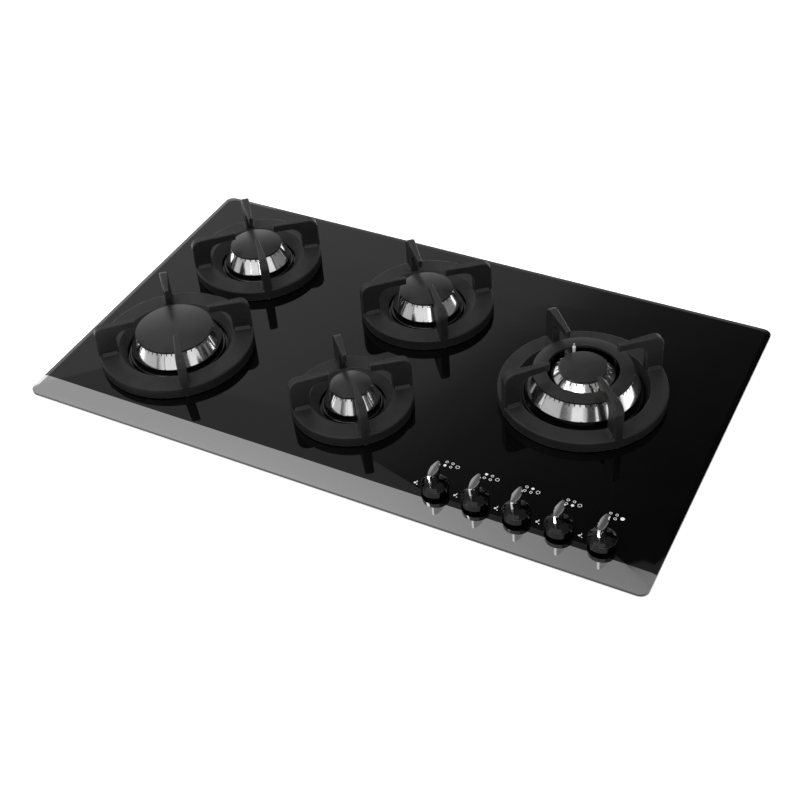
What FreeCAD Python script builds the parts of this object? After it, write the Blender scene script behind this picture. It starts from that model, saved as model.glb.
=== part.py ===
import FreeCAD, Part
import math
import os

# Five-burner gas cooktop with a glass top. Millimetres, +Z up, +X to the right, +Y to the back.
# The origin is the centre of the flat bottom of the burner box.

Vec = FreeCAD.Vector
up = Vec(0, 0, 1)
back = Vec(0, 1, 0)

# ---- driving dimensions -------------------------------------------------------------------

panelWidth = 860.0
panelDepth = 500.0
glassThickness = 6.0
panelCornerRadius = 12.0
edgeBevel = 1.6

boxInsetX = 17.0            # from the panel's edge to the burner box
boxInsetY = 17.0
boxDepth = 50.0             # from the flat bottom to the underside of the glass
boxSheet = 1.2
boxCornerRadius = 10.0
boxFlange = 14.0
serviceNotchWidth = 104.0   # step in the rear right corner, for the gas and mains entries
serviceNotchDepth = 46.0
beadRadius = 3.0
beadLength = 220.0
beadBehindTubes = 60.0      # from the panel's middle line back to the bead between the columns
beadBeforeMiddle = 60.0     # from the panel's middle line forward to the front bead
beadShift = 47.0            # of the front bead, to the left
beadFromRear = 43.0         # from the rear wall to the rear bead
beadRearX = 150.0

sealThickness = 3.0
sealWidth = 8.0
sealEdgeGap = 3.5

clampHoleRadius = 2.2
clampSpacingX = 560.0
clampSpacingY = 420.0
ventSlotLength = 24.0
ventSlotHeight = 4.0
ventSlotPitch = 34.0
ventSlotCount = 5

supportLedgeHeight = 16.0   # top of the cast ring above the glass
supportFootHeight = 1.6
supportWall = 5.0
supportEdgeRadius = 2.5
supportLip = 2.5            # thickness of the ring at its inner edge
fingerTipDepth = 11.0
fingerCornerRadius = 14.0
fingerArchRadius = 16.0
fingerRootFlare = 3.0
fingerRootThickness = 12.0
fingerTipThickness = 5.6
fingerEdgeBevel = 1.2
fingerAngles = (45.0, 135.0, 225.0, 315.0)
supportTurn = -4.0          # loose round supports, as they lie in the photograph
footRadius = 2.3

gasketThickness = 0.8
potWall = 2.6
potDepth = 28.0             # the burner base below the top of the glass
potInset = 14.0             # from the foot of the flame cone to the pot
glassHoleInset = 4.0        # from the foot of the flame cone to the hole in the glass
seatRingWidth = 5.0
potChamfer = 4.0
rimHeight = 3.8
rimRound = 1.5
gasketInset = 1.0
jetHoleRadius = 9.0
flameRingGap = 4.5          # glossy rim of the base outside the foot of the flame cone
spreaderSpigot = 4.0
spreaderWall = 3.0
coneLip = 1.4
seatClearance = 0.4
portWidth = 1.4
portDepth = 3.2
grooveWidth = 1.8
grooveDepth = 1.1
grooveAngles = (8.0, 110.0, 245.0, 290.0)
capOverhang = 1.2
capRim = 2.6
capCrown = 4.4
capSpigot = 3.0
capSpigotWall = 2.2

knobRadius = 17.0
knobSkirtHeight = 9.0
knobShoulderStep = 2.7      # height of the shoulder's edge above the skirt
knobShoulderHeight = 4.5
knobShoulderRadius = 12.5
knobCrestRadius = 6.2
knobGap = 5.0               # under the skirt, so that it can be pushed
knobHeight = 38.5           # top of the fin above the glass
finTopLength = 29.0
finTopWidth = 10.6
finFootLength = 20.0
finFootWidth = 7.6
finEndWidth = 2.4
finBevel = 0.9
knobEdgeRadius = 1.2
knobWall = 2.4
knobHollow = 6.6            # height of the hollow inside the skirt
knobBossRadius = 6.5
knobBossGap = 1.0           # from the skirt's foot up to the boss
knobSocketDepth = 17.4
stemEndGap = 1.0
knobPitch = 52.6
lastKnobFromSide = 70.6
knobRowFromFront = 49.0
pushTravel = 4.0

spindleRadius = 3.0
spindleFlat = 1.0
spindleSocketGap = 0.05
plugRadius = 5.4
plugLength = 12.0
plugRunningGap = 0.05
plugFromTop = 2.0
plugFloorGap = 0.6
pushPinRadius = 2.0
pushPinLength = 9.0
tapRadius = 11.0
tapHeight = 30.0
tapBelowGlass = 10.0
tapOutletHeight = 22.0
tapOutletLength = 10.0
tapOutletRadius = 5.5
knobHoleRadius = 6.6
grommetFlangeRadius = 9.5
grommetFlange = 1.2
grommetGap = 0.5

tubeRadius = 3.2
tubeBend = 14.0
tubeSeatGap = 0.05
tubeLowLevel = 6.5
tubeMiddleLevel = 14.0
tubeDropStart = 11.0        # straight out of the tap before a tube goes down to its level
tubeDropLength = 20.0
railRadius = 7.5
railOffset = 21.5           # from the knob row to the gas rail
railSideGap = 20.0
railBend = 24.0
inletThreadRadius = 10.48   # G1/2
inletThreadLength = 18.0
inletReliefRadius = 9.2     # plain neck between the box wall and the thread
inletReliefLength = 1.5
inletNutAcrossFlats = 26.0
inletNutThickness = 7.0
inletFromCorner = 28.0
glandFromCorner = 78.0
glandRadius = 8.0
glandBoreRadius = 3.8
glandCollar = 3.0
glandLength = 16.0

holderRadius = 15.0
holderBossLength = 10.0
holderBossWall = 2.0
holderRim = 1.0
jetRadius = 4.0
jetHeight = 9.0
jetNose = 2.5
electrodeRadius = 2.1
electrodePinRadius = 0.8
electrodePinLength = 5.0
thermocoupleRadius = 1.7
probeInset = 8.5            # from the foot of the flame cone to a probe
probeTail = 17.0            # of a probe below the wall that it passes
probeCollarRadius = 3.2
probeCollarHeight = 2.0
probeGap = 0.4
probeSlotWidth = 6.0
probeBelowCrown = 2.0
wokProbeAboveCrown = 10.0

generatorSize = (76.0, 44.0, 26.0)
generatorX = -150.0
generatorWallGap = 13.8     # from the front wall of the box
generatorCornerRadius = 5.0
generatorSocketRadius = 2.5
generatorSocketHeight = 5.0
switchStripWidth = 26.0
switchStripHeight = 5.0
switchHousingHeight = 3.0

# ---- burners: place on the panel and sizes above the glass ---------------------------------

leftColumnFromSide = 138.5
middleColumnX = -16.0
wokFromSide = 185.0
backRowY = 113.0
frontLeftY = -98.0
frontMiddleY = -104.0
wokY = 31.0

flameSeat = 11.0
flameCrown = 32.0
fingerTop = 61.0
ledgeFoot = 5.0
mediumSizes = {"seat": flameSeat, "crown": flameCrown, "fingers": fingerTop, "ledgeFoot": ledgeFoot,
               "cone": 46.5, "cap": 36.5, "ring": 92.0, "ledge": 67.0, "inner": 54.0, "tip": 28.0,
               "ports": 30, "turn": supportTurn}
largeSizes = {"seat": flameSeat, "crown": flameCrown, "fingers": fingerTop, "ledgeFoot": ledgeFoot,
              "cone": 61.0, "cap": 52.0, "ring": 105.0, "ledge": 78.0, "inner": 68.5, "tip": 50.0,
              "ports": 48, "turn": supportTurn}
smallSizes = {"seat": flameSeat, "crown": flameCrown, "fingers": fingerTop, "ledgeFoot": ledgeFoot,
              "cone": 35.5, "cap": 26.5, "ring": 79.5, "ledge": 54.0, "inner": 43.0, "tip": 27.0,
              "ports": 24, "turn": supportTurn}
wokSizes = {"seat": 16.5, "crown": 38.0, "fingers": 67.0, "ledgeFoot": ledgeFoot,
            "cone": 73.0, "cap": 64.0, "ring": 108.5, "ledge": 86.0, "inner": 81.0, "tip": 47.0,
            "ports": 60, "turn": 0.0}

wokCapBore = 46.0
wokCapLip = 2.0
wokCapRise = 1.4
wokCapBulge = 0.5
wokCentreTubeRadius = 24.0
wokCentreSeat = 27.0
wokCentreFoot = 40.5
wokCentreFootHeight = 34.5
wokCentreTop = 31.5
wokCentreCrown = 43.0
wokCentreBore = 17.0
wokCentreCapRadius = 30.0
wokCentreCapRise = 2.2
wokCentrePorts = 26

# The knobs from left to right, and the azimuths of the probes in each burner. Then for each gas
# tube: the side on which it enters its burner, its height over the box floor, and the line along
# which it crosses the box.
knobOrder = ("front_left", "back_left", "back_middle", "front_middle", "wok")
probeAngles = {name: {"electrode": 67.0, "thermocouple": 160.0} for name in knobOrder}
probeAngles["wok"] = {"electrode": 127.0, "thermocouple": 318.0}
fromFront, fromRight = 270.0, 0.0
tubeEntries = {"front_left": fromFront, "back_left": fromFront, "back_middle": fromRight,
               "front_middle": fromFront, "wok": fromRight}
tubeLevels = {"front_left": tubeLowLevel, "back_left": tubeLowLevel, "back_middle": tubeMiddleLevel,
              "front_middle": tapOutletHeight, "wok": tubeMiddleLevel}
tubeCrossings = {"front_left": -135.0, "back_left": 5.0, "back_middle": -40.0,
                 "front_middle": -145.0, "wok": wokY}

# ---- worked out from the values above ------------------------------------------------------

leftColumnX = leftColumnFromSide - panelWidth / 2
wokX = panelWidth / 2 - wokFromSide
burners = {
    "front_left": dict(largeSizes, x=leftColumnX, y=frontLeftY),
    "back_left": dict(mediumSizes, x=leftColumnX, y=backRowY),
    "back_middle": dict(mediumSizes, x=middleColumnX, y=backRowY),
    "front_middle": dict(smallSizes, x=middleColumnX, y=frontMiddleY),
    "wok": dict(wokSizes, x=wokX, y=wokY),
}

glassBottom = boxDepth
glassTop = boxDepth + glassThickness
worktopPlane = glassBottom - sealThickness
boxWidth = panelWidth - 2 * boxInsetX
boxLength = panelDepth - 2 * boxInsetY
notchX = boxWidth / 2 - serviceNotchWidth
notchY = boxLength / 2 - serviceNotchDepth
knobRowY = -panelDepth / 2 + knobRowFromFront
lastKnobX = panelWidth / 2 - lastKnobFromSide
firstKnobX = lastKnobX - knobPitch * (len(knobOrder) - 1)
tapTop = glassBottom - tapBelowGlass
tapFloor = tapTop - tapHeight
potBottom = glassTop - potDepth


# ---- shared helpers ------------------------------------------------------------------------

def save(name, solids):
    shape = solids if isinstance(solids, Part.Shape) else Part.makeCompound(solids)
    shape.exportStep("parts/" + name + ".step")
    print(name, len(shape.Solids), "solid(s)", "valid" if shape.isValid() else "NOT VALID")


def revolved(points, arcs=(), turn=360.0):
    """Solid turned about Z from (radius, height) points. An index in arcs makes the stretch from
    that point over the next one to the one after it an arc."""
    corners = [Vec(r, 0, z) for r, z in points]
    edges = []
    step = 0
    while step < len(corners):
        if step in arcs:
            end = corners[(step + 2) % len(corners)]
            edges.append(Part.Arc(corners[step], corners[step + 1], end).toShape())
            step += 2
        else:
            end = corners[(step + 1) % len(corners)]
            edges.append(Part.makeLine(corners[step], end))
            step += 1
    face = Part.Face(Part.Wire(edges))
    return face.revolve(Vec(0, 0, 0), up, turn)


def moved(shape, x=0.0, y=0.0, z=0.0):
    copy = shape.copy()
    copy.translate(Vec(x, y, z))
    return copy


def turned(shape, angle):
    copy = shape.copy()
    copy.rotate(Vec(0, 0, 0), up, angle)
    return copy


def cylinder(radius, height, x=0.0, y=0.0, z=0.0, direction=up):
    return Part.makeCylinder(radius, height, Vec(x, y, z), direction)


def block(width, depth, height, x=0.0, y=0.0, z=0.0):
    """Box centred on x and y, standing on z."""
    return Part.makeBox(width, depth, height, Vec(x - width / 2, y - depth / 2, z))


def roundedBlock(width, depth, height, radius, z=0.0):
    plain = block(width, depth, height, z=z)
    upright = [e for e in plain.Edges if abs(e.Vertexes[0].Z - e.Vertexes[-1].Z) > height / 2]
    return plain.makeFillet(radius, upright)


def filletPoint(radius, centreR, centreZ, angle):
    turn = math.radians(angle)
    return (centreR + radius * math.cos(turn), centreZ + radius * math.sin(turn))


def bentTube(points, radius, bend):
    """Solid rod of straight runs joined by tangent bends."""
    corners = [Vec(*p) for p in points]
    pieces = []
    start = corners[0]
    for before, corner, after in zip(corners, corners[1:], corners[2:]):
        inward = (corner - before).normalize()
        outward = (after - corner).normalize()
        halfTurn = inward.getAngle(outward) / 2
        reach = bend * math.tan(halfTurn)
        bendStart = corner - inward * reach
        centre = corner + (outward - inward).normalize() * (bend / math.cos(halfTurn))
        section = Part.Face(Part.Wire(Part.makeCircle(radius, bendStart, inward)))
        pieces.append(Part.makeCylinder(radius, (bendStart - start).Length, start, inward))
        pieces.append(section.revolve(centre, inward.cross(outward), math.degrees(2 * halfTurn)))
        start = corner + outward * reach
    lastRun = corners[-1] - start
    pieces.append(Part.makeCylinder(radius, lastRun.Length, start, lastRun))
    return pieces[0].multiFuse(pieces[1:]).removeSplitter()


def knobPlaces():
    return [firstKnobX + knobPitch * step for step in range(len(knobOrder))]


# ---- panel, seal and box -------------------------------------------------------------------

def glassPanel():
    panel = roundedBlock(panelWidth, panelDepth, glassThickness, panelCornerRadius, glassBottom)
    rim = [e for e in panel.Edges if min(v.Z for v in e.Vertexes) > glassTop - 0.01]
    panel = panel.makeChamfer(edgeBevel, rim)
    for size in burners.values():
        hole = cylinder(size["cone"] - glassHoleInset, glassThickness, size["x"], size["y"], glassBottom)
        panel = panel.cut(hole)
    for x in knobPlaces():
        panel = panel.cut(cylinder(knobHoleRadius, glassThickness, x, knobRowY, glassBottom))
    return panel


def rimSeal():
    outerWidth = panelWidth - 2 * sealEdgeGap
    outerDepth = panelDepth - 2 * sealEdgeGap
    outer = roundedBlock(outerWidth, outerDepth, sealThickness, panelCornerRadius - sealEdgeGap, worktopPlane)
    inner = block(outerWidth - 2 * sealWidth, outerDepth - 2 * sealWidth, sealThickness, z=worktopPlane)
    return outer.cut(inner)


def boxOutline(inset, z, height):
    """The box's plan with its stepped rear right corner, drawn in by inset."""
    right = boxWidth / 2 - inset
    back = boxLength / 2 - inset
    stepX = notchX - inset
    stepY = notchY - inset
    corners = [(-right, -back), (right, -back), (right, stepY), (stepX, stepY), (stepX, back), (-right, back)]
    wire = Part.makePolygon([Vec(x, y, z) for x, y in corners + corners[:1]])
    solid = Part.Face(wire).extrude(Vec(0, 0, height))
    upright = [e for e in solid.Edges if abs(e.Vertexes[0].Z - e.Vertexes[-1].Z) > height / 2]
    return solid.makeFillet(boxCornerRadius, upright)


def floorBead(radius, x, y):
    """Half-round stiffening bead, pressed up into the floor."""
    rod = cylinder(radius, beadLength, x - beadLength / 2, y, 0, Vec(1, 0, 0))
    ends = [Part.makeSphere(radius, Vec(x + side * beadLength / 2, y, 0)) for side in (-1, 1)]
    return rod.multiFuse(ends)


def burnerBox():
    box = boxOutline(0, 0, boxDepth)
    cavity = boxOutline(boxSheet, boxSheet, boxDepth - 2 * boxSheet)
    mouth = boxOutline(boxFlange, boxDepth - 2 * boxSheet, 3 * boxSheet)
    for x, y in beadPlaces():
        box = box.cut(floorBead(beadRadius, x, y))
        cavity = cavity.cut(floorBead(beadRadius + boxSheet, x, y))
    box = box.cut(cavity).cut(mouth)
    for sideX in (-1, 1):
        for sideY in (-1, 1):
            x = sideX * clampSpacingX / 2
            y = sideY * clampSpacingY / 2
            box = box.cut(cylinder(clampHoleRadius, 3 * boxSheet, x, y, -boxSheet))
        for step in range(ventSlotCount):
            x = sideX * boxWidth / 2
            y = (step - (ventSlotCount - 1) / 2) * ventSlotPitch
            box = box.cut(block(4 * boxSheet, ventSlotLength, ventSlotHeight, x, y, boxDepth / 2))
    for fromCorner, radius in ((inletFromCorner, inletThreadRadius), (glandFromCorner, glandRadius)):
        x = boxWidth / 2 - fromCorner
        y = notchY - 2 * boxSheet
        box = box.cut(cylinder(radius + seatClearance, 4 * boxSheet, x, y, tapOutletHeight, back))
    return box


def beadPlaces():
    betweenColumns = (leftColumnX + middleColumnX) / 2
    return ((betweenColumns, beadBehindTubes), (betweenColumns - beadShift, -beadBeforeMiddle),
            (beadRearX, boxLength / 2 - beadFromRear))


# ---- pan supports --------------------------------------------------------------------------

def supportRing(size):
    foot = glassTop + supportFootHeight
    top = glassTop + supportLedgeHeight
    slopeFoot = glassTop + size["ledgeFoot"]
    outer = size["ring"]
    ledge = size["ledge"]
    inner = size["inner"]
    edge = supportEdgeRadius
    wall = supportWall
    softCorner = filletPoint(edge, outer - edge, top - edge, 45)
    section = [(outer, foot), (outer, top - edge), softCorner, (outer - edge, top), (ledge, top),
               (inner, slopeFoot), (inner, foot), (inner + supportLip, foot),
               (ledge + supportLip, top - wall), (outer - wall, top - wall), (outer - wall, foot)]
    return revolved(section, arcs=(1,))


def fingerHalf(size, radius):
    """Half the thickness of a blade at a radius: it grows evenly from tip to ring."""
    share = (radius - size["tip"]) / (size["ring"] - size["tip"])
    return (fingerTipThickness + share * (fingerRootThickness - fingerTipThickness)) / 2


def supportFinger(size):
    """One blade: flush with the ring outside, level on top, arched below, thinner at the tip."""
    low = glassTop + supportLedgeHeight - supportLip
    top = glassTop + size["fingers"]
    underside = top - fingerTipDepth
    outer = size["ring"]
    tip = size["tip"]
    root = size["ledge"]
    corner = fingerCornerRadius
    arch = fingerArchRadius
    outline = [(outer, low), (outer, top - corner), filletPoint(corner, outer - corner, top - corner, 45),
               (outer - corner, top), (tip, top), (tip, underside), (root - arch, underside),
               filletPoint(arch, root - arch, underside - arch, 45), (root, underside - arch), (root, low)]
    sweepAngle = 2 * math.degrees(math.atan2(fingerRootThickness, tip))
    blade = turned(revolved(outline, arcs=(1, 6), turn=sweepAngle), -sweepAngle / 2)
    plan = Part.Face(fingerPlan(size, tip - fingerEdgeBevel, outer + fingerEdgeBevel, 0, low))
    blade = blade.common(plan.extrude(Vec(0, 0, top)))
    crest = [e for e in blade.Edges if isCrestEdge(e, top)]
    return blade.makeChamfer(fingerEdgeBevel, crest)


def fingerPlan(size, near, far, extra, z):
    """Wedge seen from above, between two radii, with the blade's thickness and extra on each side."""
    nearHalf = fingerHalf(size, near) + extra
    farHalf = fingerHalf(size, far) + extra
    corners = [Vec(near, -nearHalf, z), Vec(far, -farHalf, z), Vec(far, farHalf, z), Vec(near, nearHalf, z)]
    return Part.makePolygon(corners + corners[:1])


def isCrestEdge(edge, top):
    """True for the edges that run along a blade's level top and its rounded outer corner."""
    ends = [edge.Vertexes[0].Point, edge.Vertexes[-1].Point]
    highest = max(p.z for p in ends)
    along = abs(ends[0].x - ends[1].x)
    return highest > top - 0.01 and along > fingerCornerRadius / 2


def fingerRoot(size):
    """Flare between a blade and the top of the ring, where a casting has its fillet."""
    foot = glassTop + supportLedgeHeight
    near = size["ledge"] + supportLip
    far = size["ring"] - 2 * supportEdgeRadius
    wide = fingerPlan(size, near, far, fingerRootFlare, foot)
    narrow = fingerPlan(size, near, far, -fingerEdgeBevel, foot + fingerRootFlare + fingerEdgeBevel)
    return Part.makeLoft([wide, narrow], True, True)


def panSupport(size):
    finger = supportFinger(size)
    root = fingerRoot(size)
    pieces = []
    for angle in fingerAngles:
        pieces += [turned(finger, angle + size["turn"]), turned(root, angle + size["turn"])]
    support = supportRing(size).multiFuse(pieces).removeSplitter()
    return moved(support, size["x"], size["y"])


def supportFeet(size):
    feet = []
    reach = size["ring"] - supportWall / 2
    for angle in fingerAngles:
        azimuth = math.radians(angle + size["turn"])
        x = size["x"] + reach * math.cos(azimuth)
        y = size["y"] + reach * math.sin(azimuth)
        feet.append(cylinder(footRadius, supportFootHeight, x, y, glassTop))
    return feet


# ---- burners -------------------------------------------------------------------------------

def potRadius(size):
    return size["cone"] - potInset


def seatOuter(size):
    return potRadius(size) - potWall + seatRingWidth


def spreaderBore(size):
    """Outside of the spreader's spigot, which drops into the pot."""
    return potRadius(size) - potWall - seatClearance


def crownBore(size):
    return spreaderBore(size) - spreaderWall


def probeReach(name, size):
    """Radius at which the electrode and the thermocouple stand."""
    if name == "wok":
        return (wokCentreFoot + wokCapBore) / 2
    return size["cone"] - probeInset


def burnerBase(name, size):
    """Pot through the glass, glossy rim on top of it and the raised seat for the flame spreader."""
    pot = potRadius(size)
    inside = pot - potWall
    rim = size["cone"] + flameRingGap
    flangeFoot = glassTop + gasketThickness
    flangeTop = flangeFoot + potWall
    rimTop = flangeFoot + rimHeight
    seat = glassTop + size["seat"]
    rimMiddle = filletPoint(rimRound, rim - rimRound, rimTop - rimRound, 45)
    section = [(jetHoleRadius, potBottom), (pot - potChamfer, potBottom), (pot, potBottom + potChamfer),
               (pot, flangeFoot), (rim, flangeFoot), (rim, rimTop - rimRound), rimMiddle,
               (rim - rimRound, rimTop), (rim - 2 * rimRound, rimTop), (size["cone"] - rimRound, flangeTop),
               (seatOuter(size), flangeTop), (seatOuter(size), seat), (inside, seat),
               (inside, potBottom + potWall), (jetHoleRadius, potBottom + potWall)]
    base = revolved(section, arcs=(5,))
    if name == "wok":
        base = base.fuse(wokCentreTube())
    hole = cylinder(electrodeRadius + probeGap, 2 * boxDepth, probeReach(name, size))
    for angle in probeAngles[name].values():
        base = base.cut(turned(hole, angle))
    return moved(base, size["x"], size["y"])


def wokCentreTube():
    outer = wokCentreTubeRadius
    inner = outer - potWall
    top = glassTop + wokCentreSeat
    return revolved([(inner, potBottom), (outer, potBottom), (outer, top), (inner, top)])


def burnerGasket(size):
    hole = size["cone"] - glassHoleInset
    ring = cylinder(size["cone"] + flameRingGap - gasketInset, gasketThickness, z=glassTop)
    return moved(ring.cut(cylinder(hole, gasketThickness, z=glassTop)), size["x"], size["y"])


def radialSlots(count, start, length, crown):
    """Cutters for the flame ports: slots open to the top, spread evenly round the crown."""
    slot = Part.makeBox(length, portWidth, 2 * portDepth, Vec(start, -portWidth / 2, crown - portDepth))
    return [turned(slot, step * 360.0 / count) for step in range(count)]


def flameSpreader(name, size):
    """Conical ring on the base's seat, with flame ports round its crown, thin grooves down its
    outside, and slots where the electrode and the thermocouple stand in it."""
    cone = size["cone"]
    seat = glassTop + size["seat"]
    crown = glassTop + size["crown"]
    bore = spreaderBore(size)
    inside = crownBore(size)
    crownRadius = size["cap"] - capOverhang
    section = [(cone, seat), (cone, seat + coneLip), (crownRadius, crown), (inside, crown),
               (inside, seat - spreaderSpigot), (bore, seat - spreaderSpigot), (bore, seat)]
    spreader = revolved(section)
    cutters = radialSlots(size["ports"], inside - portWidth, cone, crown)
    groove = coneGroove(cone, crownRadius, seat, crown)
    cutters += [turned(groove, angle) for angle in grooveAngles]
    if name != "wok":
        start = seatOuter(size)
        slot = Part.makeBox(cone, probeSlotWidth, boxDepth, Vec(start, -probeSlotWidth / 2, seat - coneLip))
        cutters += [turned(slot, angle) for angle in probeAngles[name].values()]
    spreader = spreader.cut(Part.makeCompound(cutters))
    return moved(spreader, size["x"], size["y"])


def coneGroove(foot, crownRadius, seat, crown):
    """Straight groove down the outside of the flame cone."""
    beyond = 3 * grooveDepth
    low, high = seat - beyond, crown + beyond
    outline = [(foot - grooveDepth, low), (foot + beyond, low), (foot + beyond, high),
               (crownRadius - grooveDepth, high), (crownRadius - grooveDepth, crown),
               (foot - grooveDepth, seat + coneLip)]
    points = [Vec(r, -grooveWidth / 2, z) for r, z in outline]
    face = Part.Face(Part.makePolygon(points + points[:1]))
    return face.extrude(Vec(0, grooveWidth, 0))


def domedLid(radius, bore, crown, rise):
    """Cap with a short upright rim, a domed top and a spigot below that centres it in the crown."""
    rimTop = crown + capRim
    spigot = bore - seatClearance
    domeRadius = (radius ** 2 + rise ** 2) / (2 * rise)
    shoulder = radius / 2
    shoulderTop = rimTop + rise - domeRadius + math.sqrt(domeRadius ** 2 - shoulder ** 2)
    section = [(radius, crown), (radius, rimTop), (shoulder, shoulderTop), (0, rimTop + rise), (0, crown),
               (spigot - capSpigotWall, crown), (spigot - capSpigotWall, crown - capSpigot),
               (spigot, crown - capSpigot), (spigot, crown)]
    return revolved(section, arcs=(1,))


def burnerCap(size):
    lid = domedLid(size["cap"], crownBore(size), glassTop + size["crown"], capCrown)
    return moved(lid, size["x"], size["y"])


def wokRingCap(size):
    """Ring-shaped lid of the outer flame ring, open in the middle for the inner burner."""
    crown = glassTop + size["crown"]
    radius = size["cap"]
    rimTop = crown + capRim
    lipTop = rimTop + wokCapRise
    spigot = crownBore(size) - seatClearance
    middle = (radius + wokCapBore) / 2
    section = [(radius, crown), (radius, rimTop), (middle, rimTop + wokCapRise / 2 + wokCapBulge),
               (wokCapBore + wokCapLip, lipTop), (wokCapBore, lipTop), (wokCapBore, crown),
               (spigot - capSpigotWall, crown), (spigot - capSpigotWall, crown - capSpigot),
               (spigot, crown - capSpigot), (spigot, crown)]
    return moved(revolved(section, arcs=(1,)), size["x"], size["y"])


def wokCrown(size):
    """Inner flame ring of the wok burner, on the base's centre tube."""
    seat = glassTop + wokCentreSeat
    foot = glassTop + wokCentreFootHeight
    crown = glassTop + wokCentreCrown
    section = [(wokCentreTubeRadius + potWall, seat), (wokCentreFoot, foot), (wokCentreFoot, foot + coneLip),
               (wokCentreTop, crown), (wokCentreBore, crown), (wokCentreBore, seat)]
    slots = radialSlots(wokCentrePorts, wokCentreBore - portWidth, wokCentreFoot, crown)
    ring = revolved(section).cut(Part.makeCompound(slots))
    return moved(ring, size["x"], size["y"])


def wokCentreCap(size):
    lid = domedLid(wokCentreCapRadius, wokCentreBore, glassTop + wokCentreCrown, wokCentreCapRise)
    return moved(lid, size["x"], size["y"])


def probeTop(name, size):
    if name == "wok":
        return glassTop + size["crown"] + wokProbeAboveCrown
    return glassTop + size["crown"] - probeBelowCrown


def probeCollar(name, size):
    """Shoulder of a probe under the wall that it passes: the pot's flange, or the wok pot's floor."""
    face = potBottom if name == "wok" else glassTop + gasketThickness
    return cylinder(probeCollarRadius, probeCollarHeight, z=face - probeCollarHeight)


def probeFoot(name):
    return potBottom - probeTail if name == "wok" else glassTop - probeTail


def sparkElectrode(name, size):
    """Ceramic rod with a thin metal pin at its top."""
    top = probeTop(name, size)
    foot = probeFoot(name)
    rod = cylinder(electrodeRadius, top - electrodePinLength - foot, z=foot)
    pin = cylinder(electrodePinRadius, electrodePinLength, z=top - electrodePinLength)
    probe = moved(rod.multiFuse([pin, probeCollar(name, size)]), probeReach(name, size))
    return moved(turned(probe, probeAngles[name]["electrode"]), size["x"], size["y"])


def thermocouple(name, size):
    top = probeTop(name, size)
    foot = probeFoot(name)
    shoulder = top - thermocoupleRadius
    rod = cylinder(thermocoupleRadius, shoulder - foot, z=foot)
    radius = thermocoupleRadius
    tip = Part.makeCone(radius, radius / 2, radius, Vec(0, 0, shoulder), up)
    probe = moved(rod.multiFuse([tip, probeCollar(name, size)]), probeReach(name, size))
    return moved(turned(probe, probeAngles[name]["thermocouple"]), size["x"], size["y"])


# ---- gas train -----------------------------------------------------------------------------

def plugBottom():
    """Underside of the tap's plug with the knob let go."""
    return tapTop - plugLength - plugFromTop


def tubeStartY():
    """End of a gas tube, halfway into the tap's outlet."""
    return knobRowY + tapRadius + tapOutletLength / 2


def tapBody(x):
    body = cylinder(tapRadius, tapHeight, x, knobRowY, tapFloor)
    outlet = cylinder(tapOutletRadius, tapRadius + tapOutletLength, x, knobRowY, tapOutletHeight, back)
    inlet = cylinder(tapOutletRadius, railOffset, x, knobRowY, tapOutletHeight, back * -1)
    railY = knobRowY - railOffset
    rail = cylinder(railRadius, 4 * tapRadius, x - 2 * tapRadius, railY, tapOutletHeight, Vec(1, 0, 0))
    body = body.multiFuse([outlet, inlet]).cut(rail)
    plugFloor = plugBottom() - pushTravel - plugFloorGap
    plugBore = cylinder(plugRadius + plugRunningGap, tapHeight, x, knobRowY, plugFloor)
    pinBore = cylinder(pushPinRadius + plugRunningGap, tapHeight, x, knobRowY, tapFloor)
    tubeSeat = cylinder(tubeRadius + tubeSeatGap, tapOutletLength, x, tubeStartY(), tapOutletHeight, back)
    return body.cut(plugBore).cut(pinBore).cut(tubeSeat)


def knobFoot():
    return glassTop + knobGap


def tapSpindle(x):
    """Plug of the tap and its D-shaped stem, which passes through the glass into the knob."""
    plug = cylinder(plugRadius, plugLength, x, knobRowY, plugBottom())
    flatFoot = knobFoot() + knobBossGap
    flatLength = knobSocketDepth - stemEndGap
    stem = cylinder(spindleRadius, flatFoot + flatLength - plugBottom(), x, knobRowY, plugBottom())
    flatY = knobRowY + spindleRadius - spindleFlat / 2
    flat = block(2 * spindleRadius, spindleFlat, flatLength, x, flatY, flatFoot)
    return plug.fuse(stem).cut(flat)


def pushPin(x):
    """Pin of the safety valve, pushed down by the plug."""
    return cylinder(pushPinRadius, pushPinLength, x, knobRowY, plugBottom() - pushPinLength)


def leaf(length, width, z):
    """Closed leaf outline along Y: two bowed sides and two short ends."""
    halfLength = length / 2
    halfEnd = finEndWidth / 2
    frontLeft, frontRight = Vec(-halfEnd, -halfLength, z), Vec(halfEnd, -halfLength, z)
    backLeft, backRight = Vec(-halfEnd, halfLength, z), Vec(halfEnd, halfLength, z)
    right = Part.Arc(frontRight, Vec(width / 2, 0, z), backRight).toShape()
    left = Part.Arc(backLeft, Vec(-width / 2, 0, z), frontLeft).toShape()
    backEnd = Part.makeLine(backRight, backLeft)
    frontEnd = Part.makeLine(frontLeft, frontRight)
    return Part.Wire([right, backEnd, left, frontEnd])


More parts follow.
